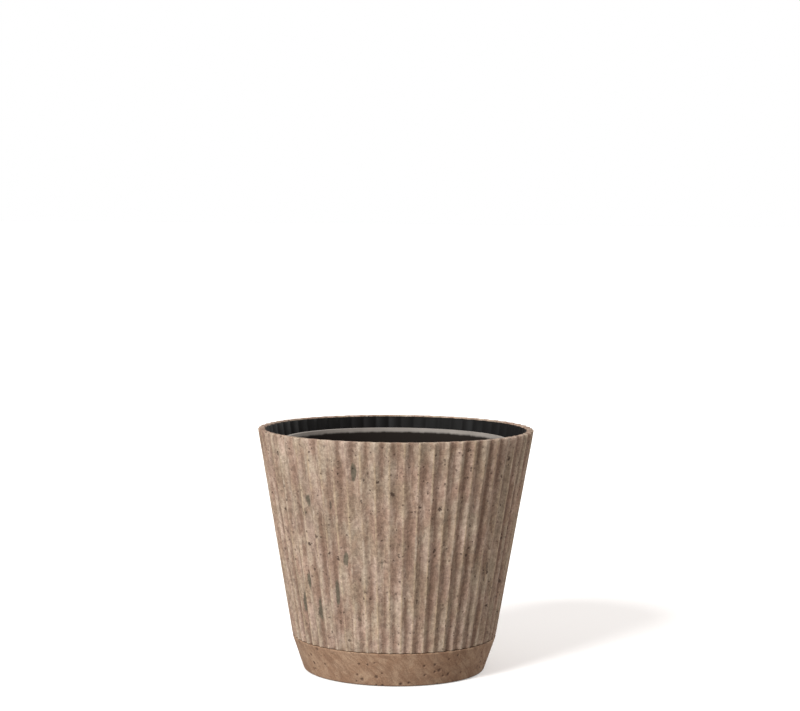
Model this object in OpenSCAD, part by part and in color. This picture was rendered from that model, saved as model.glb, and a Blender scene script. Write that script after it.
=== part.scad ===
// A round planter. A fluted pot with a thin black liner stands in a plain fitted saucer on four pads,
// and a plastic grow pot stands inside it. Every piece lifts straight up off the one below.
// Millimetres, +Z up, with the origin on the ground under the middle of the saucer.

/* [Fluted pot] */
// Height of the rim above the ground
planter_h = 127; // [105:1:155]
// Diameter across the flute ridges at the rim
rim_d = 145; // [120:1:176]
// Lean of the fluted wall from upright, in degrees
wall_lean = 9.8; // [7:0.2:12]
// Thickness of the wall at a ridge of the rim, which thins downwards with the taper
wall = 3; // [2.4:0.1:4]
// Thickness of the floor
pot_floor = 3.5; // [2.5:0.5:6]
// Thickness of the wall of the foot that stands in the saucer
foot_wall = 2.5; // [1.5:0.5:3.5]
// Height of the sloped step inside, above the foot
step_h = 3.6; // [3:0.2:6]

/* [Flutes] */
// Number of flutes round the pot
flute_n = 60; // [48:1:72]
// Depth of a flute at the rim
flute_depth = 1.3; // [0.8:0.1:1.6]
// Width of the flat ridge left between two flutes at the rim
flute_land = 0.7; // [0.4:0.1:1.2]
// Height of the ridge inside the wall that backs each flute, at the rim
ridge_depth = 0.8; // [0.5:0.1:1]
// Width of the flat left between two of the inside ridges at the rim
ridge_land = 0.8; // [0.7:0.1:1.4]
// Turn of the first flute from the X axis, in degrees
flute_turn = 0.5; // [0:0.5:6]

/* [Drain holes] */
// Diameter of the middle drain hole
drain_d = 14; // [8:1:18]
// Diameter of each drain hole in the ring
ring_drain_d = 6; // [4:1:8]
// Number of drain holes in the ring
ring_drain_n = 6; // [3:1:8]

/* [Liner] */
// Thickness of the liner at the rim
liner_t = 0.8; // [0.6:0.1:1]
// Gap between the liner and the pot's wall at the rim
liner_gap = 0.15; // [0.1:0.05:0.3]
// How far the liner's edge stays below the rim
liner_drop = 0.6; // [0.2:0.2:3]

/* [Saucer] */
// Height of the saucer's lip above the ground
saucer_h = 18; // [14:1:24]
// Lean of the saucer's wall from upright, in degrees
saucer_lean = 19.5; // [12:0.5:24]
// Thickness of the saucer's wall, measured level
saucer_wall = 2.6; // [2:0.1:3.6]
// Thickness of the saucer's floor
saucer_floor = 3; // [2.5:0.5:4]
// Radius of the rounded bottom edge
saucer_round = 1.2; // [0.8:0.2:4]
// Depth of the recess under the middle of the saucer
recess_depth = 1; // [0.5:0.25:1.25]
// Width of the flat ring left round that recess, inside the pads
recess_margin = 3; // [1:0.5:6]
// Gap between the lip and the bottom of the flutes
seam_gap = 0.4; // [0.2:0.1:1]
// Gap all round between the pot's foot and the saucer's wall, measured level
foot_gap = 0.5; // [0.3:0.1:1]

/* [Ribs in the saucer] */
// Number of ribs that the pot stands on
rib_n = 6; // [3:1:8]
// Height of the ribs above the saucer's floor
rib_h = 2.5; // [1.5:0.5:4]
// Width of each rib
rib_w = 3; // [2:0.5:5]
// Distance from the middle to where the ribs start
rib_start = 14; // [10:1:18]
// How far the ribs stop inside the edge of the pot's foot
rib_end_gap = 6; // [2:1:10]

/* [Pads] */
// Diameter of each pad
pad_d = 11; // [8:1:14]
// Thickness of each pad
pad_t = 1.6; // [1:0.1:1.8]
// How far each pad stands out below the saucer
pad_proud = 0.2; // [0.1:0.1:0.8]
// Gap round each pad in its pocket
pad_gap = 0.15; // [0.1:0.05:0.3]
// Distance from the rounded edge of the saucer to a pad
pad_inset = 1; // [0.5:0.5:4]
// Bevel round the underside of each pad
pad_bevel = 0.25; // [0.1:0.05:0.5]

/* [Grow pot] */
// How far the grow pot's lip stays below the planter's rim
grow_drop = 6; // [2:1:14]
// Gap between the grow pot's lip and the liner
lip_gap = 6.5; // [3:0.5:9]
// Gap between the grow pot's base and the liner
base_gap = 1.6; // [1:0.2:4]
// Thickness of the grow pot's wall
grow_wall = 1; // [0.8:0.1:1.4]
// Width of the lip's top face
lip_w = 2.4; // [2:0.2:4]
// Thickness of the lip
lip_t = 1.2; // [0.8:0.2:2]
// Height of the straight band under the lip
band_h = 10; // [6:1:16]
// How far the band stands out from the wall below it
band_step = 1.2; // [0.8:0.2:2]
// Height of the raised middle of the base
base_rise = 2; // [1:0.5:4]
// Width of the ring that the grow pot stands on
base_ring_w = 5; // [3:1:8]
// Diameter of each drain hole in the base
grow_hole_d = 8; // [5:1:10]
// Number of drain holes round the base
grow_hole_n = 8; // [4:1:10]
// Space between those holes and the edge of the raised middle
grow_hole_edge = 3; // [2:1:6]

/* [Hidden] */
$fn = 96;
over = 2; // how far a cutter runs past the face it opens
pad_n = 4;
pad_turn = 45; // turn of the first pad from the X axis

// Levels, from the ground up
saucer_base_z = pad_proud;
pad_pocket = pad_t - pad_proud;
saucer_floor_z = saucer_base_z + saucer_floor;
foot_z = saucer_floor_z + rib_h;
pot_floor_z = foot_z + pot_floor;
shoulder_z = saucer_h + seam_gap;
step_z = shoulder_z + step_h;
liner_floor_z = pot_floor_z + liner_t;
grow_top_z = planter_h - grow_drop;

// The outside of the fluted wall, the flutes and the ridges inside are cones that share one tip,
// far below the ground, so they all shrink together down the wall.
rim_r = rim_d / 2;
tip_z = planter_h - rim_r / tan(wall_lean);
function down_cone(r_at_rim, z) = r_at_rim * (z - tip_z) / (planter_h - tip_z);

// A round groove or ridge of a given depth whose edges lie on a circle, with a flat between neighbours
function half_width(r, land) = r * sin(180 / flute_n) - land / 2;
function round_r(half, depth) = (half * half + depth * depth) / (2 * depth);
function axis_r(r, half, depth) = sqrt(r * r - half * half) - depth + round_r(half, depth);

flute_half = half_width(rim_r, flute_land);
flute_r = round_r(flute_half, flute_depth);
flute_axis_r = axis_r(rim_r, flute_half, flute_depth);

inside_r = rim_r - wall;
ridge_half = half_width(inside_r, ridge_land);
ridge_r = round_r(ridge_half, ridge_depth);
ridge_axis_r = axis_r(inside_r, ridge_half, ridge_depth);

// Radii of the saucer and of the foot that stands in it
lip_r = down_cone(rim_r, saucer_h);
function saucer_wall_r(z) = lip_r - (saucer_h - z) * tan(saucer_lean);
saucer_base_r = saucer_wall_r(saucer_base_z);
round_x = saucer_base_r - saucer_round * (1 - sin(saucer_lean)) / cos(saucer_lean);
function foot_r(z) = saucer_wall_r(z) - saucer_wall - foot_gap;
function foot_inside_r(z) = foot_r(z) - foot_wall;

drain_ring_r = (drain_d / 2 + foot_inside_r(pot_floor_z)) / 2; // midway from the middle hole to the wall
pad_ring_r = round_x - pad_inset - pad_d / 2;
recess_r = pad_ring_r - pad_d / 2 - recess_margin;
rib_end = foot_r(foot_z) - rib_end_gap;

// Radii of the grow pot
clear_r = down_cone(ridge_axis_r - ridge_r - liner_gap - liner_t, grow_top_z);
grow_lip_r = clear_r - lip_gap;
band_r = grow_lip_r - lip_w + grow_wall;
grow_base_r = foot_inside_r(pot_floor_z) - liner_gap - liner_t - base_gap;
raised_r = grow_base_r - base_ring_w;
grow_hole_ring_r = raised_r - grow_hole_edge - grow_hole_d / 2;

// Leaning round bars whose sides run to the shared tip, one for each flute, from z1 to above the rim
module leaning_bars(axis_at_rim, r_at_rim, z1) {
    lean = atan(axis_at_rim / (planter_h - tip_z));
    rim_along = (planter_h - tip_z) / cos(lean);
    from = (z1 - tip_z) / cos(lean);
    to = rim_along + over;
    for (i = [0 : flute_n - 1])
        translate([0, 0, tip_z])
            rotate([0, lean, flute_turn + i * 360 / flute_n])
                translate([0, 0, from])
                    cylinder(h = to - from, r1 = r_at_rim * from / rim_along, r2 = r_at_rim * to / rim_along);
}

// The space inside the pot, drawn in by side at the rim and raised by up at the floor
module inside_space(side, up, top_z) {
    difference() {
        rotate_extrude()
            polygon([
                [0, pot_floor_z + up],
                [foot_inside_r(pot_floor_z) - side, pot_floor_z + up],
                [foot_inside_r(shoulder_z) - side, shoulder_z],
                [down_cone(inside_r - side, step_z), step_z],
                [down_cone(inside_r - side, top_z), top_z],
                [0, top_z]
            ]);
        leaning_bars(ridge_axis_r, ridge_r + side, shoulder_z);
    }
}

// Drain holes through the floors of the pot and its liner
module drain_holes(z1, z2) {
    translate([0, 0, z1])
        cylinder(h = z2 - z1, d = drain_d);
    for (i = [0 : ring_drain_n - 1])
        rotate([0, 0, (i + 0.5) * 360 / ring_drain_n])
            translate([drain_ring_r, 0, z1])
                cylinder(h = z2 - z1, d = ring_drain_d);
}

// The pot that is seen: fluted outside, with a plain foot that drops into the saucer
module fluted_pot() {
    color("rosybrown")
        difference() {
            rotate_extrude()
                polygon([
                    [0, foot_z],
                    [foot_r(foot_z), foot_z],
                    [foot_r(shoulder_z), shoulder_z],
                    [down_cone(rim_r, shoulder_z), shoulder_z],
                    [rim_r, planter_h],
                    [0, planter_h]
                ]);
            leaning_bars(flute_axis_r, flute_r, shoulder_z - over);
            inside_space(0, 0, planter_h + over);
            drain_holes(foot_z - over, pot_floor_z + over);
        }
}

// Thin black lining that follows the inside of the pot and stands on its floor
module inner_liner() {
    color("#1c1b1a")
        difference() {
            inside_space(liner_gap, 0, planter_h - liner_drop);
            inside_space(liner_gap + liner_t, liner_t, planter_h + over);
            drain_holes(pot_floor_z - over, liner_floor_z + over);
        }
}

// Outline of the saucer's section, with a true round at its bottom edge
module saucer_outline() {
    difference() {
        union() {
            polygon([
                [0, saucer_base_z],
                [round_x, saucer_base_z],
                [
                    round_x + saucer_round * cos(saucer_lean),
                    saucer_base_z + saucer_round * (1 - sin(saucer_lean))
                ],
                [lip_r, saucer_h],
                [0, saucer_h]
            ]);
            translate([round_x, saucer_base_z + saucer_round])
                circle(r = saucer_round);
        }
        polygon([
            [0, saucer_floor_z],
            [saucer_wall_r(saucer_floor_z) - saucer_wall, saucer_floor_z],
            [saucer_wall_r(saucer_h + over) - saucer_wall, saucer_h + over],
            [0, saucer_h + over]
        ]);
    }
}

// Rib on the saucer's floor, which holds the pot up out of the drained water
module rib() {
    translate([rib_start, -rib_w / 2, saucer_floor_z - saucer_floor / 2])
        cube([rib_end - rib_start, rib_w, rib_h + saucer_floor / 2]);
}

// Places a child at each pad, or at one pad
module at_pad(i) {
    rotate([0, 0, pad_turn + i * 360 / pad_n])
        translate([pad_ring_r, 0, 0])
            children();
}

module saucer() {
    color("tan")
        difference() {
            union() {
                rotate_extrude()
                    saucer_outline();
                for (i = [0 : rib_n - 1])
                    rotate([0, 0, i * 360 / rib_n])
                        rib();
            }
            translate([0, 0, saucer_base_z - over])
                cylinder(h = over + recess_depth, r = recess_r);
            for (i = [0 : pad_n - 1])
                at_pad(i)
                    translate([0, 0, saucer_base_z - over])
                        cylinder(h = over + pad_pocket, d = pad_d + 2 * pad_gap);
        }
}

// Soft pad that keeps the saucer off the table
module pad(i) {
    color("#2a2826")
        at_pad(i) {
            translate([0, 0, pad_bevel])
                cylinder(h = pad_t - pad_bevel, d = pad_d);
            cylinder(h = pad_bevel, d1 = pad_d - 2 * pad_bevel, d2 = pad_d);
        }
}

// Thin moulded pot that the plant is sold in, with a lip, a stacking band and a drained base
module grow_pot() {
    z0 = liner_floor_z;
    band_z = grow_top_z - band_h;
    below_band_r = band_r - band_step;
    color("#6f6862")
        difference() {
            rotate_extrude()
                polygon([
                    [0, z0 + base_rise],
                    [raised_r, z0 + base_rise],
                    [raised_r, z0],
                    [grow_base_r, z0],
                    [below_band_r, band_z],
                    [band_r, band_z],
                    [band_r, grow_top_z - lip_t],
                    [grow_lip_r, grow_top_z - lip_t],
                    [grow_lip_r, grow_top_z],
                    [band_r - grow_wall, grow_top_z],
                    [band_r - grow_wall, band_z + grow_wall],
                    [below_band_r - grow_wall, band_z + grow_wall],
                    [grow_base_r - grow_wall, z0 + grow_wall],
                    [raised_r + grow_wall, z0 + grow_wall],
                    [raised_r + grow_wall, z0 + base_rise + grow_wall],
                    [0, z0 + base_rise + grow_wall]
                ]);
            for (i = [0 : grow_hole_n - 1])
                rotate([0, 0, i * 360 / grow_hole_n])
                    translate([grow_hole_ring_r, 0, z0])
                        cylinder(h = base_rise + grow_wall + over, d = grow_hole_d);
        }
}

fluted_pot();
inner_liner();
saucer();
pad(0);  // pad_1
pad(1);  // pad_2
pad(2);  // pad_3
pad(3);  // pad_4
grow_pot();
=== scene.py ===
import math
import random

import bmesh
import bpy
import numpy as np
from mathutils import Matrix, Vector, noise


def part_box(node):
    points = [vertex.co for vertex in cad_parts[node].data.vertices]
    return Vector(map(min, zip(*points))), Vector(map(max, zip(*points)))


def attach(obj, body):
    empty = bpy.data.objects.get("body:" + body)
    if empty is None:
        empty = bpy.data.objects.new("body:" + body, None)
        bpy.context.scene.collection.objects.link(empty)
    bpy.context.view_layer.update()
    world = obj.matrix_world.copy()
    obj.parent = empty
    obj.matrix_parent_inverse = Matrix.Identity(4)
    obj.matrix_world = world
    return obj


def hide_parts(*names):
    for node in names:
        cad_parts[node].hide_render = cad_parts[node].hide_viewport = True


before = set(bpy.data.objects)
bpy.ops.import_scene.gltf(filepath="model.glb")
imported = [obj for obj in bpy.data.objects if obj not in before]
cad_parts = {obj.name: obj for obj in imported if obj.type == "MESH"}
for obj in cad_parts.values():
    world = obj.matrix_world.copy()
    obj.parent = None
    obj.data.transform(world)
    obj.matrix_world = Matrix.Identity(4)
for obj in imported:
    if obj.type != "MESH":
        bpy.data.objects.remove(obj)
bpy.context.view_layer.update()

# Everything is in metres, +Z up, with the origin on the ground under the middle of the saucer.
# The walls, lips and levels come from the frame; what the frame can't give is in the dictionaries.

planter = {
    "flutes": 60,
    "turn": 0.5,              # degrees from +X to the middle of the first flute
    "seamGap": 0.0004,        # dark line between the saucer's lip and the flutes
    "shoulderStep": 0.0036,   # height of the sloped step inside, above the foot
    "floorThick": 0.0035,
    "footWall": 0.0025,
    "wall": 0.003,            # at a ridge of the rim
    "backDepth": 0.0008,      # ridges inside, behind the flutes
    "backLand": 0.0008,
    "drain": 0.007,           # radius of the middle hole
    "ringDrain": 0.003,
    "ringDrains": 6,
}


def radiusAt(node, z, least=False):
    # How far the frame's own piece reaches from the axis at one level
    found = [v.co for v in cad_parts[node].data.vertices if abs(v.co.z - z) < 0.00005]
    reach = [math.hypot(p.x, p.y) for p in found]
    return min(reach) if least else max(reach)


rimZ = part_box("fluted_pot")[1].z
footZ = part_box("fluted_pot")[0].z
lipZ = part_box("saucer")[1].z
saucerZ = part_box("saucer")[0].z
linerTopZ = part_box("inner_liner")[1].z
growZ, growTopZ = (corner.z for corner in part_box("grow_pot"))
shoulderZ = lipZ + planter["seamGap"]
stepZ = shoulderZ + planter["shoulderStep"]
floorZ = footZ + planter["floorThick"]
rimRadius = radiusAt("fluted_pot", rimZ)
shoulderRadius = radiusAt("fluted_pot", shoulderZ)
footRadius = radiusAt("fluted_pot", footZ)
footTopRadius = radiusAt("fluted_pot", shoulderZ, least=True) + planter["footWall"]
tipZ = rimZ - (rimZ - shoulderZ) * rimRadius / (rimRadius - shoulderRadius)


def downCone(z):
    # How far the flutes have shrunk by this level; they all run to one tip below the ground
    return (z - tipZ) / (rimZ - tipZ)


def footInside(z):
    run = (z - footZ) / (shoulderZ - footZ)
    return footRadius + (footTopRadius - footRadius) * run - planter["footWall"]


# Shapes that several pieces use

def softMin(a, b, k):
    return -k * np.logaddexp(-a / k, -b / k)


def keenOutline(angles, radius, depth, land, bow, soft):
    # Distance from the axis round the outside: hollows with nearly straight sides,
    # and a narrow flat between
    half = math.pi / planter["flutes"] - land / 2 / radius
    share = np.clip(np.abs(angles) / half, 0, 1)
    return softMin(radius - depth * (1 - share ** bow), radius, soft)


def roundOutline(angles, radius, depth, land, soft, side=0.0):
    # The same with round hollows, as behind the flutes, drawn in by side
    half = radius * math.sin(math.pi / planter["flutes"]) - land / 2
    bend = (half ** 2 + depth ** 2) / (2 * depth)
    middle = math.sqrt(radius ** 2 - half ** 2) - depth + bend
    hollow = middle * np.cos(angles) - np.sqrt((bend + side) ** 2 - (middle * np.sin(angles)) ** 2)
    return softMin(hollow, radius - side, soft)


def insideOutline(angles, soft, side=0.0):
    # The pot's own inside at the rim, drawn in by side
    radius = rimRadius - planter["wall"]
    return roundOutline(angles, radius, planter["backDepth"], planter["backLand"], soft, side)


def flutedAngles(perFlute, gather):
    # Angles round the pot, closer together at the ridges, and each one's angle from the
    # middle of its own flute
    pitch = 2 * math.pi / planter["flutes"]
    share = np.arange(perFlute) / perFlute - 0.5
    local = pitch * (share + gather * np.sin(2 * math.pi * share) / (2 * math.pi))
    start = math.radians(planter["turn"])
    round_ = np.concatenate([start + i * pitch + local for i in range(planter["flutes"])])
    return round_, np.tile(local, planter["flutes"])


def evenAngles(count):
    return np.arange(count) * 2 * math.pi / count


def ring(angles, radii, z):
    # radii is one number, or one for each angle
    heights = np.broadcast_to(z, angles.shape)
    return np.stack([radii * np.cos(angles), radii * np.sin(angles), heights], 1)


def quarter(steps):
    return [math.radians(90 * (i + 1) / steps) for i in range(steps)]


def stitchRows(bm, rows):
    # Rings of points, one above another, joined by quads; gives the rings of vertices
    rings = [[bm.verts.new(p) for p in row] for row in rows]
    for low, high in zip(rings, rings[1:]):
        joinRings(bm, low, high)
    return rings


def joinRings(bm, low, high):
    for i in range(len(low)):
        j = (i + 1) % len(low)
        bm.faces.new((low[i], low[j], high[j], high[i]))


def loopEdges(bm, loop):
    pairs = zip(loop, loop[1:] + loop[:1])
    return [bm.edges.get(pair) or bm.edges.new(pair) for pair in pairs]


def floorWithHoles(bm, outer, z, holes):
    # Flat floor inside a ring of vertices, with a round opening for each (x, y, radius) of holes
    edges, openings = loopEdges(bm, outer), []
    for x, y, radius in holes:
        turns = [2 * math.pi * i / 32 for i in range(32)]
        points = [(x + radius * math.cos(t), y + radius * math.sin(t), z) for t in turns]
        openings.append([bm.verts.new(p) for p in points])
        edges += loopEdges(bm, openings[-1])
    bmesh.ops.triangle_fill(bm, use_beauty=True, edges=edges, normal=(0, 0, 1))
    return openings


def drilledFloor(bm, rings, lowZ, highZ, holes):
    # Closes the first and the last ring with one floor between them, holes right through it
    upper = floorWithHoles(bm, rings[-1], highZ, holes)
    lower = floorWithHoles(bm, rings[0], lowZ, holes)
    for low, high in zip(lower, upper):
        joinRings(bm, low, high)


def drainHoles():
    spread = (planter["drain"] + footInside(floorZ)) / 2
    found = [(0, 0, planter["drain"])]
    for i in range(planter["ringDrains"]):
        turn = 2 * math.pi * (i + 0.5) / planter["ringDrains"]
        found.append((spread * math.cos(turn), spread * math.sin(turn), planter["ringDrain"]))
    return found


def meshObject(name, bm):
    bmesh.ops.recalc_face_normals(bm, faces=bm.faces)
    mesh = bpy.data.meshes.new(name)
    bm.to_mesh(mesh)
    bm.free()
    made = bpy.data.objects.new(name, mesh)
    bpy.context.scene.collection.objects.link(made)
    return made


def finishMesh(bm, name, body, node, material, sharpAngle=40):
    piece = meshObject(name, bm)
    mesh = piece.data
    mesh.materials.append(material)
    mesh.shade_smooth()
    mesh.set_sharp_from_angle(angle=math.radians(sharpAngle))
    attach(piece, body)
    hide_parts(node)
    print("made", name, len(mesh.vertices), "points")
    return piece


def pointValues(piece, name, values):
    attribute = piece.data.attributes.new(name, "FLOAT", "POINT")
    attribute.data.foreach_set("value", np.asarray(values, np.float32))


# Materials

def startMaterial(name):
    material = bpy.data.materials.new(name)
    material.use_nodes = True
    tree = material.node_tree
    shader = tree.nodes["Principled BSDF"]
    return material, tree, shader


def mathNode(tree, operation, first, second=None, third=None, clamp=False):
    node = tree.nodes.new("ShaderNodeMath")
    node.operation = operation
    node.use_clamp = clamp
    for socket, value in zip(node.inputs, (first, second, third)):
        if value is None:
            continue
        if isinstance(value, (int, float)):
            socket.default_value = value
        else:
            tree.links.new(value, socket)
    return node.outputs[0]


middleRadius = 0.064          # of the fluted wall, where the patterns keep their own size


def wallPlace(tree, squeeze):
    # Place on the wall: the same up and down a flute apart from the height, which is squeezed,
    # so that a pattern read from it runs in streaks down the wall
    place = tree.nodes.new("ShaderNodeTexCoord").outputs["Object"]
    parts = tree.nodes.new("ShaderNodeSeparateXYZ")
    tree.links.new(place, parts.inputs[0])
    x, y, z = parts.outputs
    reach = mathNode(tree, "SQRT", mathNode(tree, "ADD", mathNode(tree, "MULTIPLY", x, x),
                                            mathNode(tree, "MULTIPLY", y, y)))
    scale = mathNode(tree, "DIVIDE", middleRadius, mathNode(tree, "MAXIMUM", reach, 0.01))
    joined = tree.nodes.new("ShaderNodeCombineXYZ")
    tree.links.new(mathNode(tree, "MULTIPLY", x, scale), joined.inputs[0])
    tree.links.new(mathNode(tree, "MULTIPLY", y, scale), joined.inputs[1])
    tree.links.new(mathNode(tree, "MULTIPLY", z, squeeze), joined.inputs[2])
    return joined.outputs[0]


def plainPlace(tree):
    return tree.nodes.new("ShaderNodeTexCoord").outputs["Object"]


def noiseValue(tree, place, scale, detail=3.0, rough=0.55, twist=0.0, seed=0.0):
    node = tree.nodes.new("ShaderNodeTexNoise")
    node.noise_dimensions = "4D"
    node.inputs["W"].default_value = seed
    node.inputs["Scale"].default_value = scale
    node.inputs["Detail"].default_value = detail
    node.inputs["Roughness"].default_value = rough
    node.inputs["Distortion"].default_value = twist
    tree.links.new(place, node.inputs["Vector"])
    return node.outputs["Fac"]


def stretch(tree, value, low, high, to=(0.0, 1.0)):
    node = tree.nodes.new("ShaderNodeMapRange")
    node.interpolation_type = "SMOOTHSTEP"
    tree.links.new(value, node.inputs["Value"])
    node.inputs["From Min"].default_value = low
    node.inputs["From Max"].default_value = high
    node.inputs["To Min"].default_value = to[0]
    node.inputs["To Max"].default_value = to[1]
    return node.outputs["Result"]


def mixColour(tree, share, first, second, blend="MIX"):
    node = tree.nodes.new("ShaderNodeMix")
    node.data_type = "RGBA"
    node.blend_type = blend
    for socket, value in ((node.inputs[0], share), (node.inputs[6], first), (node.inputs[7], second)):
        if isinstance(value, bpy.types.NodeSocket):
            tree.links.new(value, socket)
        elif isinstance(value, (int, float)):
            socket.default_value = value
        else:
            socket.default_value = (*value, 1.0)
    return node.outputs[2]


def pitMask(tree, place, scale, size, share, seed):
    # Small ragged spots: a cell's middle, in that share of the cells, with uneven sizes
    shift = tree.nodes.new("ShaderNodeTexNoise")
    shift.inputs["Scale"].default_value = scale * 2.6
    shift.inputs["Detail"].default_value = 1.0
    tree.links.new(place, shift.inputs["Vector"])
    moved = tree.nodes.new("ShaderNodeVectorMath")
    moved.operation = "MULTIPLY_ADD"
    tree.links.new(shift.outputs["Color"], moved.inputs[0])
    moved.inputs[1].default_value = (0.55 / scale, 0.55 / scale, 0.8 / scale)
    tree.links.new(place, moved.inputs[2])
    cells = tree.nodes.new("ShaderNodeTexVoronoi")
    cells.voronoi_dimensions = "4D"
    cells.inputs["W"].default_value = seed
    cells.inputs["Scale"].default_value = scale
    tree.links.new(moved.outputs[0], cells.inputs["Vector"])
    pick = tree.nodes.new("ShaderNodeSeparateColor")
    tree.links.new(cells.outputs["Color"], pick.inputs[0])
    chosen = stretch(tree, pick.outputs[0], 1 - share, 1 - share + 0.02)
    reach = mathNode(tree, "MULTIPLY", mathNode(tree, "ADD", pick.outputs[1], 0.45), size)
    inside = mathNode(tree, "SUBTRACT", reach, cells.outputs["Distance"])
    round_ = stretch(tree, mathNode(tree, "DIVIDE", inside, size), 0.0, 0.55)
    return mathNode(tree, "MULTIPLY", round_, chosen)


def attributeValue(tree, name):
    node = tree.nodes.new("ShaderNodeAttribute")
    node.attribute_name = name
    return node.outputs["Fac"]


def bump(tree, shader, height, strength, distance, below=None):
    node = tree.nodes.new("ShaderNodeBump")
    node.inputs["Strength"].default_value = strength
    node.inputs["Distance"].default_value = distance
    tree.links.new(height, node.inputs["Height"])
    if below:
        tree.links.new(below, node.inputs["Normal"])
    if shader:
        tree.links.new(node.outputs[0], shader.inputs["Normal"])
    return node.outputs[0]


potStoneLook = {
    "cream": (0.356, 0.284, 0.226),
    "sand": (0.272, 0.196, 0.146),
    # brown of the wash, also used as painted shade in the flute hollows
    "washAndShade": (0.150, 0.091, 0.064),
    "pink": (1.035, 0.975, 0.985),
    "olive": (0.975, 0.995, 0.955),
    "greyGreen": (0.088, 0.077, 0.055),
    "mark": (0.070, 0.054, 0.042),
    "ridge": (0.345, 0.262, 0.175),
    "worn": (0.385, 0.318, 0.256),
    "pit": (0.050, 0.029, 0.020),
    "roughness": 0.82,
    "specular": 0.3,
    "clouds": {"scale": 150.0, "detail": 5.0, "rough": 0.62, "twist": 0.5, "seed": 2.0},
    "broad": {"scale": 48.0, "detail": 2.0, "rough": 0.5, "twist": 0.3, "seed": 10.0},
    "cast": {"scale": 105.0, "detail": 3.0, "rough": 0.55, "twist": 0.4, "seed": 8.0},
    "streaks": {"scale": 175.0, "detail": 5.0, "rough": 0.62, "twist": 0.25, "seed": 1.0},
    "ridges": {"scale": 300.0, "detail": 4.0, "rough": 0.6, "twist": 0.3, "seed": 9.0},
    "stains": {"scale": 420.0, "detail": 5.0, "rough": 0.65, "twist": 0.3, "seed": 7.0},
    "marks": {"scale": 330.0, "detail": 3.0, "rough": 0.6, "twist": 0.3, "seed": 17.0},
    "mottle": {"scale": 520.0, "detail": 4.0, "rough": 0.65, "twist": 0.3, "seed": 4.0},
    "grain": {"scale": 1500.0, "detail": 2.0, "rough": 0.6, "twist": 0.0, "seed": 3.0},
    "bigPits": {"scale": 290.0, "size": 0.27, "share": 0.24, "seed": 5.0},
    "pores": {"scale": 680.0, "size": 0.36, "share": 0.26, "seed": 6.0},
    "areas": ((0.86, 0.85, 0.845), (1.10, 1.11, 1.115)),  # dark and light parts, as factors
    "mottleDims": ((0.76, 0.74, 0.73), (1.20, 1.21, 1.21)),
    "grainDims": ((0.86, 0.855, 0.85), (1.12, 1.12, 1.12)),
    "stainRagged": 2.4,
    "stainFrom": 1.42,
    "stainFull": 1.90,
    "stainShare": 0.88,
}


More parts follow.
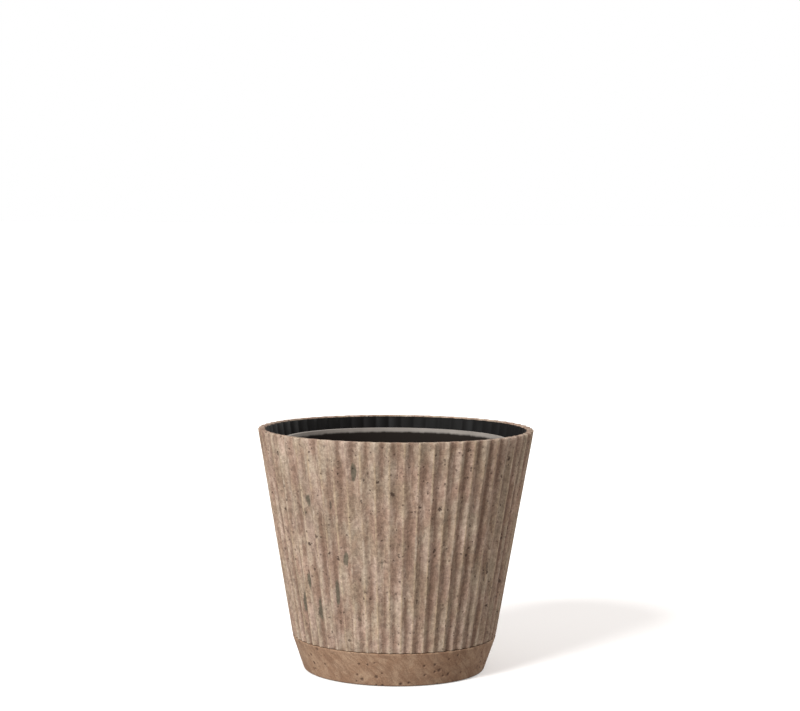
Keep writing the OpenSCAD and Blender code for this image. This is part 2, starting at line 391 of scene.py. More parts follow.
def potStone():
    look = potStoneLook
    material, tree, shader = startMaterial("pot_stone")
    solid = plainPlace(tree)
    long = wallPlace(tree, 0.13)
    middling = wallPlace(tree, 0.35)
    short = wallPlace(tree, 0.6)
    groove = attributeValue(tree, "groove")
    wear = attributeValue(tree, "wear")

    # stone: cream and sand clouds, darker and lighter areas, and a pink or an olive cast here and there
    clouds = noiseValue(tree, middling, **look["clouds"])
    colour = mixColour(tree, stretch(tree, clouds, 0.40, 0.60), look["sand"], look["cream"])
    broad = noiseValue(tree, short, **look["broad"])
    areas = mixColour(tree, stretch(tree, broad, 0.34, 0.66), *look["areas"])
    colour = mixColour(tree, 1.0, colour, areas, "MULTIPLY")
    cast = noiseValue(tree, short, **look["cast"])
    tint = mixColour(tree, stretch(tree, cast, 0.36, 0.64), look["pink"], look["olive"])
    colour = mixColour(tree, 1.0, colour, tint, "MULTIPLY")

    # brown streaks in the flute hollows that thin out upwards: partly a brown wash, partly painted
    # shade darkening the hollows
    inGroove = stretch(tree, groove, 0.30, 0.95)
    streaks = noiseValue(tree, long, **look["streaks"])
    # painted shade: the hollows are darkened along the streaks, deepest in the middle of each flute
    washAndShadeShare = mathNode(tree, "MULTIPLY", stretch(tree, streaks, 0.42, 0.58, (0.05, 0.80)), inGroove)
    colour = mixColour(tree, washAndShadeShare, colour, look["washAndShade"])
    onRidge = noiseValue(tree, long, **look["ridges"])
    ridgeShare = stretch(tree, onRidge, 0.50, 0.66, (0.0, 0.50))
    colour = mixColour(tree, ridgeShare, colour, look["washAndShade"])

    # greenish grey stains with ragged edges, and short near-black marks at the tops of streaks
    ragged = noiseValue(tree, wallPlace(tree, 0.35), **look["stains"])
    stain = mathNode(tree, "MULTIPLY_ADD", ragged, look["stainRagged"], attributeValue(tree, "stain"))
    stainShare = stretch(tree, stain, look["stainFrom"], look["stainFull"], (0.0, look["stainShare"]))
    colour = mixColour(tree, stainShare, colour, look["greyGreen"])
    marks = noiseValue(tree, wallPlace(tree, 0.22), **look["marks"])
    markShare = stretch(tree, marks, 0.66, 0.74, (0.0, 0.75))
    colour = mixColour(tree, markShare, colour, look["mark"])

    # tan along the very edge of each ridge, and paler where the ridges have rubbed
    edge = stretch(tree, groove, 0.20, 0.02)
    edgeShare = mathNode(tree, "MULTIPLY", edge, stretch(tree, onRidge, 0.60, 0.42, (0.1, 0.75)))
    colour = mixColour(tree, edgeShare, colour, look["ridge"])
    edge = stretch(tree, groove, 0.30, 0.02)
    edgeShare = mathNode(tree, "MULTIPLY", edge, stretch(tree, wear, 0.15, 0.75, (0.05, 0.70)))
    colour = mixColour(tree, edgeShare, colour, look["worn"])

    # speckle
    mottle = noiseValue(tree, solid, **look["mottle"])
    grain = noiseValue(tree, solid, **look["grain"])
    dim = mixColour(tree, stretch(tree, mottle, 0.34, 0.66), *look["mottleDims"])
    colour = mixColour(tree, 1.0, colour, dim, "MULTIPLY")
    dim = mixColour(tree, stretch(tree, grain, 0.3, 0.7), *look["grainDims"])
    colour = mixColour(tree, 1.0, colour, dim, "MULTIPLY")

    bigPits = pitMask(tree, solid, **look["bigPits"])
    pores = pitMask(tree, solid, **look["pores"])
    pits = mathNode(tree, "MAXIMUM", bigPits, mathNode(tree, "MULTIPLY", pores, 0.75))
    colour = mixColour(tree, mathNode(tree, "MULTIPLY", pits, 0.85), colour, look["pit"])
    tree.links.new(colour, shader.inputs["Base Color"])

    tree.links.new(stretch(tree, mottle, 0.3, 0.7, (look["roughness"] - 0.1, look["roughness"] + 0.08)),
                   shader.inputs["Roughness"])
    shader.inputs["Specular IOR Level"].default_value = look["specular"]
    rough = mathNode(tree, "SUBTRACT", mathNode(tree, "MULTIPLY", mottle, 0.6), pits)
    soft = bump(tree, None, clouds, 0.35, 0.0004)
    broken = bump(tree, None, onRidge, 0.35, 0.0003, soft)
    fine = bump(tree, None, grain, 0.4, 0.00015, broken)
    bump(tree, shader, rough, 0.9, 0.00035, fine)
    return material


saucerStoneLook = {
    "light": (0.328, 0.225, 0.150),
    "middle": (0.256, 0.158, 0.099),
    "dark": (0.150, 0.082, 0.050),
    "lean": 16.0,             # radians that the strokes turn by in a metre of height
    "pit": (0.055, 0.026, 0.017),
    "roughness": 0.78,
    "specular": 0.35,
    "bend": {"scale": 45.0, "detail": 2.0, "rough": 0.5, "twist": 0.0, "seed": 15.0},
    "sweep": {"scale": 210.0, "detail": 5.0, "rough": 0.65, "twist": 1.1, "seed": 11.0},
    "patches": {"scale": 120.0, "detail": 4.0, "rough": 0.6, "twist": 0.8, "seed": 12.0},
    "grain": {"scale": 1300.0, "detail": 3.0, "rough": 0.6, "twist": 0.0, "seed": 13.0},
    "pores": {"scale": 330.0, "size": 0.26, "share": 0.16, "seed": 14.0},
    "grainDims": ((0.84, 0.83, 0.82), (1.14, 1.14, 1.14)),
}


def saucerStone():
    look = saucerStoneLook
    material, tree, shader = startMaterial("saucer_stone")
    solid = plainPlace(tree)
    # strokes that lean round the side: the place is turned about Z as it climbs
    bend = noiseValue(tree, solid, **look["bend"])
    parts = tree.nodes.new("ShaderNodeSeparateXYZ")
    tree.links.new(solid, parts.inputs[0])
    twist = tree.nodes.new("ShaderNodeVectorRotate")
    twist.rotation_type = "Z_AXIS"
    tree.links.new(wallPlace(tree, 0.45), twist.inputs["Vector"])
    climb = mathNode(tree, "MULTIPLY", parts.outputs[2], look["lean"])
    tree.links.new(mathNode(tree, "MULTIPLY_ADD", bend, 0.35, climb), twist.inputs["Angle"])
    sweep = noiseValue(tree, twist.outputs[0], **look["sweep"])
    patches = noiseValue(tree, solid, **look["patches"])
    grain = noiseValue(tree, solid, **look["grain"])
    colour = mixColour(tree, stretch(tree, patches, 0.40, 0.64), look["middle"], look["light"])
    colour = mixColour(tree, stretch(tree, sweep, 0.60, 0.36, (0.0, 0.55)), colour, look["dark"])
    dim = mixColour(tree, stretch(tree, grain, 0.3, 0.7), *look["grainDims"])
    colour = mixColour(tree, 1.0, colour, dim, "MULTIPLY")
    pits = mathNode(tree, "MAXIMUM", pitMask(tree, solid, **look["pores"]),
                    mathNode(tree, "MULTIPLY", attributeValue(tree, "pit"), 0.9))
    colour = mixColour(tree, mathNode(tree, "MULTIPLY", pits, 0.9), colour, look["pit"])
    tree.links.new(colour, shader.inputs["Base Color"])
    shader.inputs["Roughness"].default_value = look["roughness"]
    shader.inputs["Specular IOR Level"].default_value = look["specular"]
    soft = bump(tree, None, sweep, 0.2, 0.0002)
    fine = bump(tree, None, grain, 0.3, 0.00012, soft)
    height = mathNode(tree, "SUBTRACT", 1.0, pits)
    bump(tree, shader, height, 0.7, 0.00025, fine)
    return material


plasticCloud = {"scale": 90.0, "detail": 3.0, "rough": 0.5, "twist": 0.3, "seed": 21.0}


def mouldedPlastic(name, colour, roughness, grainScale, grainDepth, specular):
    material, tree, shader = startMaterial(name)
    shader.inputs["Specular IOR Level"].default_value = specular
    solid = plainPlace(tree)
    cloud = noiseValue(tree, solid, **plasticCloud)
    grain = noiseValue(tree, solid, grainScale, 2.0, 0.6, 0.0, 22.0)
    darker = tuple(c * 0.78 for c in colour)
    lighter = tuple(min(1.0, c * 1.18) for c in colour)
    shade = mixColour(tree, stretch(tree, cloud, 0.35, 0.65), darker, lighter)
    tree.links.new(shade, shader.inputs["Base Color"])
    tree.links.new(stretch(tree, cloud, 0.3, 0.7, (roughness - 0.06, roughness + 0.08)),
                   shader.inputs["Roughness"])
    bump(tree, shader, grain, 0.4, grainDepth)
    return material


# Fluted pot

fluted = {
    "perFlute": 14,
    "gather": 0.80,           # how much closer the points stand at the ridges
    "wallRows": 84,
    "fluteDepth": 0.00142,
    "land": 0.00035,
    "bow": 1.3,               # 1 is a straight-sided hollow, 2 a round one
    "ridgeSoft": 0.00004,
    "rimRound": 0.0006,
    "wearDepth": 0.00024,
    "unevenDepth": 0.00003,
    "lipChip": 0.00025,
    "skirtDrop": 0.00012,     # the flutes' lower edge hangs this far into the seam
    "skirtLift": 0.00008,     # from that edge to the next row
    "skirtIn": (0.0003, 0.0001),
    "footOut": 0.0004,        # cut edge round the foot
    "footUp": 0.0006,
    "topRow": 0.006,          # first row inside, below the rim
    "insideRows": 7,
    "edgeWear": 0.6,          # extra wear close to the seam and the rim
    "edgeWearReach": 0.0018,
    "stainWidth": 0.62,       # half width of a stain, of half a flute
    "front": 45,              # the flute that faces -Y
    # flutes to the right of that one, height and half length of each stain
    "stains": [(-9, 0.041, 0.007), (-8, 0.053, 0.006), (-7, 0.038, 0.008), (-5, 0.049, 0.009),
               (-4, 0.066, 0.006), (-3, 0.112, 0.007), (-7, 0.095, 0.004)],
    "otherStains": 13,        # on the far side
    "stainSeed": 4,
}


def stainAt(local, z):
    # How deeply each point of one level is stained, from 0 to 1
    size = fluted
    draw = random.Random(size["stainSeed"])
    found = list(size["stains"])
    for _ in range(size["otherStains"]):
        found.append((draw.randint(14, 46), draw.uniform(0.03, 0.115), draw.uniform(0.004, 0.008)))
    depth = np.zeros(len(local))
    across = np.abs(local) / (math.pi / planter["flutes"])
    for flute, height, reach in found:
        start = (size["front"] + flute) % planter["flutes"] * size["perFlute"]
        inFlute = slice(start, start + size["perFlute"])
        far = ((z - height) / reach) ** 2 + (across[inFlute] / size["stainWidth"]) ** 2
        depth[inFlute] = np.maximum(depth[inFlute], np.clip(1 - far, 0, 1))
    return depth


def wearAt(x, y, z):
    slow = noise.noise(Vector((x * 190, y * 190, z * 60)))
    fast = noise.noise(Vector((x * 620 + 9, y * 620, z * 260)))
    return max(0.0, 0.14 + 0.75 * slow + 0.5 * fast)


def unevenAt(x, y, z):
    slow = noise.noise(Vector((x * 120 + 3, y * 120, z * 120)))
    fast = noise.noise(Vector((x * 430, y * 430 + 5, z * 300)))
    return slow + 0.6 * fast


def wallRow(angles, outline, z):
    # One ring of the worn, slightly uneven fluted wall, with its wear at each point
    share = downCone(z)
    flat = ring(angles, outline * share, z)
    wear = np.array([wearAt(*p) for p in flat])
    uneven = np.array([unevenAt(*p) for p in flat])
    radii = softMin(outline, rimRadius - fluted["wearDepth"] * wear, fluted["ridgeSoft"]) * share
    radii = np.minimum(radii + fluted["unevenDepth"] * (uneven - 0.9), outline * share)
    return ring(angles, radii, z), wear


def makeFlutedPot():
    angles, local = flutedAngles(fluted["perFlute"], fluted["gather"])
    size = fluted
    outline = keenOutline(local, rimRadius, size["fluteDepth"], size["land"], size["bow"],
                          size["ridgeSoft"])
    inside = insideOutline(local, size["ridgeSoft"])
    groove = np.clip((rimRadius - outline) / size["fluteDepth"], 0, 1)
    rows, wears, grooves, stains = [], [], [], []

    def add(points, wear=None, deep=None):
        rows.append(points)
        stains.append(stainAt(local, points[0][2]))
        wears.append(np.zeros(len(angles)) if wear is None else wear)
        grooves.append(np.full(len(angles), 0.5) if deep is None else deep)

    low = outline * downCone(shoulderZ)
    skirtZ = shoulderZ - size["skirtDrop"]
    add(ring(angles, footRadius, footZ))
    add(ring(angles, footRadius + size["footOut"], footZ + size["footUp"]))
    for share in (0.5, 0.97):
        radius = footRadius + (footTopRadius - footRadius) * share
        add(ring(angles, radius, footZ + (shoulderZ - footZ) * share))
    add(ring(angles, footTopRadius, shoulderZ))
    add(ring(angles, (low + footTopRadius) / 2, shoulderZ))
    for inward, lift in zip(size["skirtIn"], (0, size["skirtLift"])):
        add(ring(angles, low - inward, skirtZ + lift), None, groove)
    wallTop = rimZ - size["rimRound"]
    for z in np.linspace(shoulderZ + 0.0003, wallTop, size["wallRows"]):
        points, wear = wallRow(angles, outline, z)
        nearEdge = max(0.0, 1 - min(z - shoulderZ, rimZ - z) / size["edgeWearReach"])
        add(points, wear + size["edgeWear"] * nearEdge, groove)
    topRadii = np.hypot(rows[-1][:, 0], rows[-1][:, 1])
    chips = np.array([max(0.0, noise.noise(Vector((x * 300, y * 300, 4.0)))) for x, y, z in rows[-1]])
    for turn in quarter(4):
        drop = size["rimRound"] * (1 - math.sin(turn)) + size["lipChip"] * chips * math.cos(turn)
        radii = topRadii - size["rimRound"] * (1 - math.cos(turn)) - size["lipChip"] * chips
        add(ring(angles, radii, rimZ - drop), wears[-1], groove)
    outerTop, innerTop = radii, inside + size["rimRound"]
    for share in (0.33, 0.67, 1.0):
        add(ring(angles, outerTop + (innerTop - outerTop) * share, rimZ), None, groove)
    for turn in quarter(3):
        radii = inside + size["rimRound"] * (1 - math.sin(turn))
        add(ring(angles, radii, rimZ - size["rimRound"] * (1 - math.cos(turn))))
    for z in np.linspace(rimZ - size["topRow"], stepZ, size["insideRows"]):
        add(ring(angles, inside * downCone(z), z))
    add(ring(angles, footInside(shoulderZ), shoulderZ))
    add(ring(angles, footInside(floorZ), floorZ))

    bm = bmesh.new()
    rings = stitchRows(bm, rows)
    drilledFloor(bm, rings, footZ, floorZ, drainHoles())
    piece = finishMesh(bm, "flutedPot", "planter", "fluted_pot", potStone())
    spare = len(piece.data.vertices) - len(rows) * len(angles)
    pointValues(piece, "wear", np.concatenate(wears + [np.zeros(spare)]))
    pointValues(piece, "groove", np.concatenate(grooves + [np.full(spare, 0.5)]))
    pointValues(piece, "stain", np.concatenate(stains + [np.zeros(spare)]))
    return piece


# Liner

linerLook = {
    "colour": (0.0032, 0.003, 0.0029),
    "roughness": 0.7,
    "grainScale": 1400.0,
    "grainDepth": 0.00005,
    "specular": 0.15,
}

liner = {
    "perFlute": 8,
    "gather": 0.3,
    "gap": 0.00015,
    "thick": 0.0008,
    "soft": 0.00010,
    "rows": 12,
    "cornerCut": 0.0006,      # between the floor and the foot, inside
}


def makeLiner():
    size = liner
    angles, local = flutedAngles(size["perFlute"], size["gather"])
    outer = insideOutline(local, size["soft"], size["gap"])
    inner = insideOutline(local, size["soft"], size["gap"] + size["thick"])
    thick, gap = size["thick"], size["gap"]
    rows = [ring(angles, footInside(floorZ) - gap, floorZ)]
    rows.append(ring(angles, footInside(shoulderZ) - gap, shoulderZ))
    heights = np.linspace(stepZ, linerTopZ - thick / 2, size["rows"])
    rows += [ring(angles, outer * downCone(z), z) for z in heights]
    middle = (outer + inner) / 2 * downCone(linerTopZ)
    for turn in quarter(3) + [math.radians(90 + 30 * (i + 1)) for i in range(2)]:
        out = thick / 2 * math.cos(turn)
        rows.append(ring(angles, middle + out, linerTopZ - thick / 2 * (1 - math.sin(turn))))
    rows += [ring(angles, inner * downCone(z), z) for z in heights[::-1]]
    rows.append(ring(angles, footInside(shoulderZ) - gap - thick, shoulderZ))
    cut = size["cornerCut"]
    foot = footInside(floorZ + thick) - gap - thick
    rows.append(ring(angles, foot - cut, floorZ + thick + cut))
    rows.append(ring(angles, foot - 2 * cut, floorZ + thick))
    bm = bmesh.new()
    rings = stitchRows(bm, rows)
    drilledFloor(bm, rings, floorZ, floorZ + thick, drainHoles())
    black = mouldedPlastic("liner_black", **linerLook)
    return finishMesh(bm, "innerLiner", "planter", "inner_liner", black)


# Saucer

saucer = {
    "points": 720,
    "wallRows": 44,
    "wall": 0.0026,
    "floorThick": 0.003,
    "edgeRound": 0.0012,
    "lipRound": 0.0004,
    "recess": 0.001,
    "recessMargin": 0.003,
    "ribs": 6,
    "ribHeight": 0.0025,
    "ribWidth": 0.003,
    "ribStart": 0.014,
    "ribEndGap": 0.006,
    "ribSink": 0.0005,        # how far a rib starts below the floor
    "ribBevel": 0.0005,
    "padRoom": 0.00565,
    "padPocket": 0.0014,
    "padGap": 0.00015,        # all round a pad in its pocket
    "cove": 0.0012,           # round corner between the floor and the wall, inside
    "lipIn": 0.00006,
    "unevenDepth": 0.00005,
    "pits": 105,
    "pitDepth": 0.00035,
    "pitReach": (0.0004, 0.0006, 0.0008, 0.0011),
    "seed": 5,
}


def saucerSide():
    # Points up the outside of the saucer, from the flat underside round the edge to the lip
    size = saucer
    lipRadius = radiusAt("saucer", lipZ)
    lowest = [v.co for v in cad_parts["saucer"].data.vertices if v.co.z < saucerZ + 0.00002]
    flatRadius = max(math.hypot(p.x, p.y) for p in lowest)
    bend = size["edgeRound"]
    middleZ = saucerZ + bend
    # the wall leaves the round edge at the angle that takes it to the lip
    run, rise = lipRadius - flatRadius, lipZ - middleZ
    lean = math.atan2(run, rise) - math.asin(bend / math.hypot(run, rise))
    turns = [math.radians(t) for t in np.linspace(-90, -math.degrees(lean), 10)]
    points = [(flatRadius + bend * math.cos(t), middleZ + bend * math.sin(t)) for t in turns]
    endRadius, endZ = lipRadius - size["lipRound"] * 0.15, lipZ - size["lipRound"]
    startRadius, startZ = points[-1]
    for share in np.linspace(0, 1, size["wallRows"] + 1)[1:]:
        radius = startRadius + (endRadius - startRadius) * share
        points.append((radius, startZ + (endZ - startZ) * share))
    return points, lipRadius


def pitField(angles, heights, radiusOf, size):
    # Shallow pits scattered on the side of the saucer: how deep each point lies, from 0 to 1
    draw = random.Random(size["seed"])
    depth = np.zeros((len(heights), len(angles)))
    for _ in range(size["pits"]):
        turn, z = draw.uniform(0, 2 * math.pi), draw.uniform(heights[0], heights[-1])
        reach = draw.choice(size["pitReach"])
        away = (angles - turn + math.pi) % (2 * math.pi) - math.pi
        for row, height in enumerate(heights):
            if abs(height - z) > 2 * reach:
                continue
            far = np.hypot(away * radiusOf[row], height - z) / reach
            depth[row] = np.maximum(depth[row], np.clip(1 - far ** 2, 0, 1))
    return depth


def makeSaucer():
    size = saucer
    angles = evenAngles(size["points"])
    side, lipRadius = saucerSide()
    radiusOf, heights = [p[0] for p in side], [p[1] for p in side]
    pits = pitField(angles, heights, radiusOf, size)
    padRing = math.hypot(*(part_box("pad_1")[0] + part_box("pad_1")[1])[:2]) / 2
    recessRadius = padRing - size["padRoom"] + size["padGap"] - size["recessMargin"]
    innerZ = saucerZ + size["floorThick"]

    rows = [ring(angles, recessRadius, saucerZ + size["recess"])]
    rows.append(ring(angles, recessRadius + 0.0001, saucerZ))
    deep = [np.zeros(len(angles))] * 2
    for (radius, z), pit in zip(side, pits):
        flat = ring(angles, radius, z)
        uneven = np.array([noise.noise(Vector((x * 110, y * 110, h * 160))) for x, y, h in flat])
        radii = radius - size["unevenDepth"] * (uneven + 1) - size["pitDepth"] * pit
        rows.append(ring(angles, radii, z))
        deep.append(pit)
    lip = size["lipRound"]
    for turn in quarter(3):
        radius = lipRadius - lip * (1 - math.cos(turn)) - size["lipIn"]
        rows.append(ring(angles, radius, lipZ - lip * (1 - math.sin(turn))))
    innerLip = lipRadius - size["wall"]
    for turn in [0.0] + quarter(3):
        radius = innerLip + lip * (1 - math.sin(turn))
        rows.append(ring(angles, radius, lipZ - lip * (1 - math.cos(turn))))
    cove = size["cove"]
    for z in np.linspace(lipZ - 0.002, innerZ + cove, 8):
        rows.append(ring(angles, insideWall(side, z), z))
    for turn in quarter(4):
        radius = insideWall(side, innerZ + cove) - cove * (1 - math.cos(turn))
        rows.append(ring(angles, radius, innerZ + cove * (1 - math.sin(turn))))
    bm = bmesh.new()
    rings = stitchRows(bm, rows)
    floorWithHoles(bm, rings[0], saucerZ + size["recess"], [])
    floorWithHoles(bm, rings[-1], innerZ, [])
    values = np.concatenate(deep + [np.zeros((len(rows) - len(deep)) * len(angles))])
    piece = finishMesh(bm, "saucerBody", "saucer_base", "saucer", saucerStone())
    spare = len(piece.data.vertices) - len(values)
    pointValues(piece, "pit", np.concatenate([values, np.zeros(spare)]))
    cutPockets(piece, padRing)
    addRibs(piece, innerZ)
    return piece


def insideWall(side, z):
    return float(np.interp(z, [p[1] for p in side], [p[0] for p in side])) - saucer["wall"]


def carve(piece, tool, operation):
    step = piece.modifiers.new(operation.lower(), "BOOLEAN")
    step.operation = operation
    step.object = tool
    step.solver = "EXACT"
    settled = piece.evaluated_get(bpy.context.evaluated_depsgraph_get())
    mesh = bpy.data.meshes.new_from_object(settled)
    piece.modifiers.remove(step)
    old = piece.data
    piece.data = mesh
    bpy.data.meshes.remove(old)
    bpy.data.objects.remove(tool)
    piece.data.shade_smooth()
    piece.data.set_sharp_from_angle(angle=math.radians(40))


def cutPockets(piece, padRing):
    bm = bmesh.new()
    for i in range(4):
        turn = math.radians(45 + 90 * i)
        place = Matrix.Translation((padRing * math.cos(turn), padRing * math.sin(turn),
                                    saucerZ + saucer["padPocket"] - 0.002))
        bmesh.ops.create_cone(bm, cap_ends=True, segments=64, radius1=saucer["padRoom"],
                              radius2=saucer["padRoom"], depth=0.004, matrix=place)
    carve(piece, meshObject("pockets", bm), "DIFFERENCE")


def addRibs(piece, innerZ):
    size = saucer
    start, end = size["ribStart"], footRadius - size["ribEndGap"]
    sink = size["ribSink"]
    bm = bmesh.new()
    for i in range(size["ribs"]):
        middle = Vector(((start + end) / 2, 0, innerZ + size["ribHeight"] / 2 - sink))
        place = Matrix.Rotation(2 * math.pi * i / size["ribs"], 4, "Z") @ Matrix.Translation(middle)
        scale = Matrix.Diagonal((end - start, size["ribWidth"], size["ribHeight"] + 2 * sink, 1))
        bmesh.ops.create_cube(bm, size=1.0, matrix=place @ scale)
    bmesh.ops.bevel(bm, geom=bm.edges[:], offset=size["ribBevel"], segments=3, affect="EDGES",
                    profile=0.5)
    carve(piece, meshObject("ribs", bm), "UNION")


# Pads

rubberLook = {
    "colour": (0.022, 0.020, 0.018),
    "roughness": 0.8,
    "grainScale": 2200.0,
    "grainDepth": 0.00008,
    "specular": 0.5,
}

pads = {
    "points": 96,
    "bevel": 0.00025,
    "dish": 0.00012,          # the underside is very slightly hollow
    "core": 0.0008,           # radius of the flat in the middle
    "flat": 0.0012,           # width of the ring that stands on the ground
}


def makePad(name, node, material):
    low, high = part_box(node)
    middle = (low + high) / 2
    radius = (high.x - low.x) / 2
    angles = evenAngles(pads["points"])
    bevel = pads["bevel"]
    core, dish = pads["core"], pads["dish"]
    path = [(core, dish), (radius * 0.45, dish * 0.8)]
    path += [(radius - pads["flat"], 0.0), (radius - bevel, 0.0)]
    path += [(radius - bevel * (1 - math.sin(t)), bevel * (1 - math.cos(t))) for t in quarter(4)]
    top = high.z - low.z
    path += [(radius, top - bevel), (radius - bevel, top), (radius * 0.5, top), (core, top)]
    shift = np.array((middle.x, middle.y, low.z))
    rows = [ring(angles, r, z) + shift for r, z in path]
    bm = bmesh.new()
    rings = stitchRows(bm, rows)
    bm.faces.new(rings[0])
    bm.faces.new(rings[-1])
    return finishMesh(bm, name, "saucer_base", node, material)


def makePads():
    rubber = mouldedPlastic("pad_rubber", **rubberLook)
    for i in range(4):
        makePad(f"pad{i + 1}", f"pad_{i + 1}", rubber)


# Grow pot

grow = {
    "points": 256,
    "wall": 0.001,
    "lipWidth": 0.0024,
    "lipThick": 0.0012,
    "bandHeight": 0.010,
    "bandStep": 0.0012,
    "baseRise": 0.002,
    "ringWidth": 0.005,
    "holeRadius": 0.004,
    "holes": 8,
    "holeEdge": 0.003,
}


growPlasticLook = {
    "plastic": (0.225, 0.205, 0.185),
    # near-black inside the pot: a soil stain and painted shade
    "soilAndShade": (0.009, 0.0065, 0.005),
    "soilAndShadeLine": 0.0020,       # below the lip
    "raggedBy": 0.0016,
    "grain": {"scale": 1300.0, "detail": 2.0, "rough": 0.6, "twist": 0.0, "seed": 22.0},
    "crust": {"scale": 160.0, "detail": 4.0, "rough": 0.65, "twist": 0.2, "seed": 23.0},
    "soilAndShadeShare": 0.985,
    "fade": 0.0016,           # height over which the soil stain and painted shade come on
    "specular": 0.12,
}


def growPlastic():
    # Recycled plastic, darkened nearly to black on the inside below a ragged line under the lip: partly
    # a soil stain, partly painted shade
    look = growPlasticLook
    material, tree, shader = startMaterial("grow_pot_plastic")
    solid = plainPlace(tree)
    cloud = noiseValue(tree, solid, **plasticCloud)
    grain = noiseValue(tree, solid, **look["grain"])
    ragged = noiseValue(tree, wallPlace(tree, 0.5), **look["crust"])
    darker = tuple(c * 0.92 for c in look["plastic"])
    lighter = tuple(c * 1.06 for c in look["plastic"])
    colour = mixColour(tree, stretch(tree, cloud, 0.3, 0.7), darker, lighter)
    height = tree.nodes.new("ShaderNodeSeparateXYZ")
    tree.links.new(solid, height.inputs[0])
    line = mathNode(tree, "MULTIPLY_ADD", ragged, look["raggedBy"], growTopZ - look["soilAndShadeLine"])
    below = stretch(tree, mathNode(tree, "SUBTRACT", line, height.outputs[2]), 0.0, look["fade"])
    # painted shade together with a soil stain, on the inside below the ragged line
    stain = mathNode(tree, "MULTIPLY", below, attributeValue(tree, "inside"))
    colour = mixColour(tree, mathNode(tree, "MULTIPLY", stain, look["soilAndShadeShare"]), colour, look["soilAndShade"])
    tree.links.new(colour, shader.inputs["Base Color"])
    tree.links.new(stretch(tree, stain, 0.0, 1.0, (0.48, 0.9)), shader.inputs["Roughness"])
    shader.inputs["Specular IOR Level"].default_value = look["specular"]
    soft = bump(tree, None, grain, 0.4, 0.00006)
    crust = mathNode(tree, "MULTIPLY", ragged, stain)
    bump(tree, shader, crust, 0.5, 0.0005, soft)
    return material


def makeGrowPot():
    size = grow
    wall = size["wall"]
    lipRadius = radiusAt("grow_pot", growTopZ)
    baseRadius = radiusAt("grow_pot", growZ)
    bandRadius = lipRadius - size["lipWidth"] + wall
    bandZ = growTopZ - size["bandHeight"]
    below = bandRadius - size["bandStep"]
    raised = baseRadius - size["ringWidth"]
    underLip = growTopZ - size["lipThick"]
    slope = (below - baseRadius) / (bandZ - growZ)
    path = [(raised, growZ + size["baseRise"]), (raised, growZ + 0.0004), (raised + 0.0004, growZ),
            (baseRadius - 0.0008, growZ), (baseRadius - 0.0001, growZ + 0.0003),
            (baseRadius + 0.0001, growZ + 0.0009)]
    path += [(baseRadius + slope * h, growZ + h) for h in (0.02, 0.04, 0.06, 0.08)]
    path += [(below - 0.00008, bandZ - 0.0005), (below, bandZ), (bandRadius - 0.0003, bandZ),
             (bandRadius, bandZ + 0.0003), (bandRadius, underLip - 0.0003),
             (bandRadius + 0.0003, underLip)]
    half = size["lipThick"] / 2
    path += [(lipRadius - half * (1 - math.cos(t)), growTopZ - half + half * math.sin(t))
             for t in np.radians(np.linspace(-90, 90, 9))]
    inner = bandRadius - wall
    path += [(inner + 0.0004, growTopZ), (inner + 0.0001, growTopZ - 0.0001),
             (inner, growTopZ - 0.0004),
             (inner, bandZ + wall + 0.0003), (inner - 0.0003, bandZ + wall),
             (below - wall + 0.0002, bandZ + wall), (below - wall, bandZ + wall - 0.0003)]
    path += [(baseRadius - wall + slope * h, growZ + h) for h in (0.08, 0.06, 0.04, 0.02)]
    path += [(baseRadius - wall, growZ + wall + 0.0008), (baseRadius - wall - 0.0008, growZ + wall),
             (raised + wall + 0.0003, growZ + wall), (raised + wall, growZ + wall + 0.0003),
             (raised + wall, growZ + size["baseRise"] + wall)]
    angles = evenAngles(size["points"])
    holeRing = raised - size["holeEdge"] - size["holeRadius"]
    holes = [(holeRing * math.cos(t), holeRing * math.sin(t), size["holeRadius"])
             for t in (2 * math.pi * i / size["holes"] for i in range(size["holes"]))]
    bm = bmesh.new()
    rings = stitchRows(bm, [ring(angles, r, z) for r, z in path])
    underside = growZ + size["baseRise"]
    drilledFloor(bm, rings, underside, underside + wall, holes)
    piece = finishMesh(bm, "growPot", "grow_pot", "grow_pot", growPlastic(), 30)
    spare = len(piece.data.vertices) - len(path) * len(angles)
    lipEnd = next(i for i, (r, z) in enumerate(path) if z == growTopZ and r < inner + 0.0005)
    inside = np.repeat([1.0 if i > lipEnd else 0.0 for i in range(len(path))], len(angles))
    pointValues(piece, "inside", np.concatenate([inside, np.full(spare, 0.5)]))
    return piece


# Room, light and camera

room = {
    "floor": (0.80, 0.80, 0.80),
    "floorGlow": 0.26,
    "bounce": (0.40, 0.38, 0.36),     # the floor as the object sees it
    "floorRadius": 40.0,
    "backdrop": (1.0, 1.0, 1.0),
    "fill": (0.60, 0.555, 0.525),     # light that the surroundings throw on the object
    "key": {"turn": -38.0, "lift": 31.0, "spread": 20.0, "strength": 4.2},
    "back": {"turn": 128.0, "lift": 28.0, "spread": 45.0, "strength": 1.5},
}


def softSun(name, turn, lift, spread, strength):
    # turn is from straight in front, towards +X; lift is above the ground
    light = bpy.data.lights.new(name, "SUN")
    light.angle = math.radians(spread)
    light.energy = strength
    lamp = bpy.data.objects.new(name, light)
    a, e = math.radians(turn), math.radians(lift)
    towards = Vector((math.sin(a) * math.cos(e), -math.cos(a) * math.cos(e), math.sin(e)))
    lamp.location = towards
    lamp.rotation_euler = towards.to_track_quat("Z", "Y").to_euler()
    bpy.context.scene.collection.objects.link(lamp)


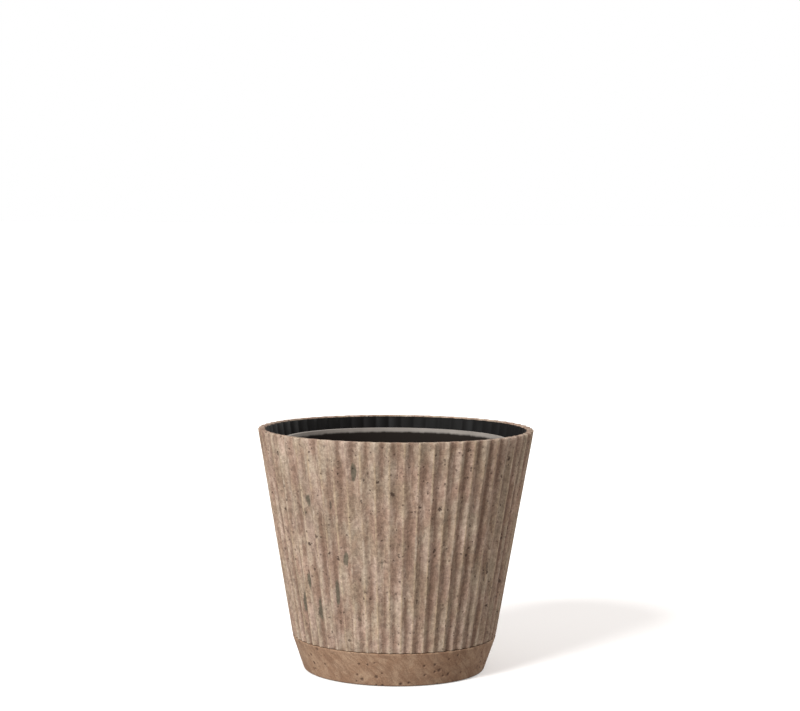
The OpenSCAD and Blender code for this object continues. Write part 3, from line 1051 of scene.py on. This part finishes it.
def makeRoom():
    world = bpy.context.scene.world or bpy.data.worlds.new("studio")
    bpy.context.scene.world = world
    world.use_nodes = True
    tree = world.node_tree
    back = tree.nodes["Background"]
    seen = tree.nodes.new("ShaderNodeLightPath").outputs["Is Camera Ray"]
    tree.links.new(mixColour(tree, seen, room["fill"], room["backdrop"]), back.inputs["Color"])
    bm = bmesh.new()
    bmesh.ops.create_circle(bm, cap_ends=True, segments=64, radius=room["floorRadius"])
    mesh = bpy.data.meshes.new("floor")
    bm.to_mesh(mesh)
    bm.free()
    floor = bpy.data.objects.new("floor", mesh)
    material, tree, shader = startMaterial("floor_pale")
    seen = tree.nodes.new("ShaderNodeLightPath").outputs["Is Camera Ray"]
    tree.links.new(mixColour(tree, seen, room["bounce"], room["floor"]), shader.inputs["Base Color"])
    shader.inputs["Roughness"].default_value = 0.9
    shader.inputs["Specular IOR Level"].default_value = 0.0
    shader.inputs["Emission Color"].default_value = (1, 1, 1, 1)
    glow = mathNode(tree, "MULTIPLY", seen, room["floorGlow"])
    tree.links.new(glow, shader.inputs["Emission Strength"])
    mesh.materials.append(material)
    bpy.context.scene.collection.objects.link(floor)
    softSun("keyLight", **room["key"])
    softSun("backLight", **room["back"])
    bpy.context.scene.view_settings.view_transform = "Standard"


view = {
    "lens": 93.58,
    "away": 1.08733,
    "height": 0.23962,
    "down": 3.92,             # degrees that the camera looks down
    "roll": 0.49,
    "shiftX": 0.0043,
}


def makeCamera():
    data = bpy.data.cameras.new("camera")
    data.lens = view["lens"]
    data.shift_x = view["shiftX"]
    camera = bpy.data.objects.new("camera", data)
    tilt = Matrix.Rotation(math.radians(90 - view["down"]), 4, "X")
    camera.matrix_world = (Matrix.Translation((0, -view["away"], view["height"])) @ tilt
                           @ Matrix.Rotation(math.radians(view["roll"]), 4, "Z"))
    bpy.context.scene.collection.objects.link(camera)
    bpy.context.scene.camera = camera


makeCamera()
makeRoom()
makeSaucer()
makePads()
makeFlutedPot()
makeLiner()
makeGrowPot()
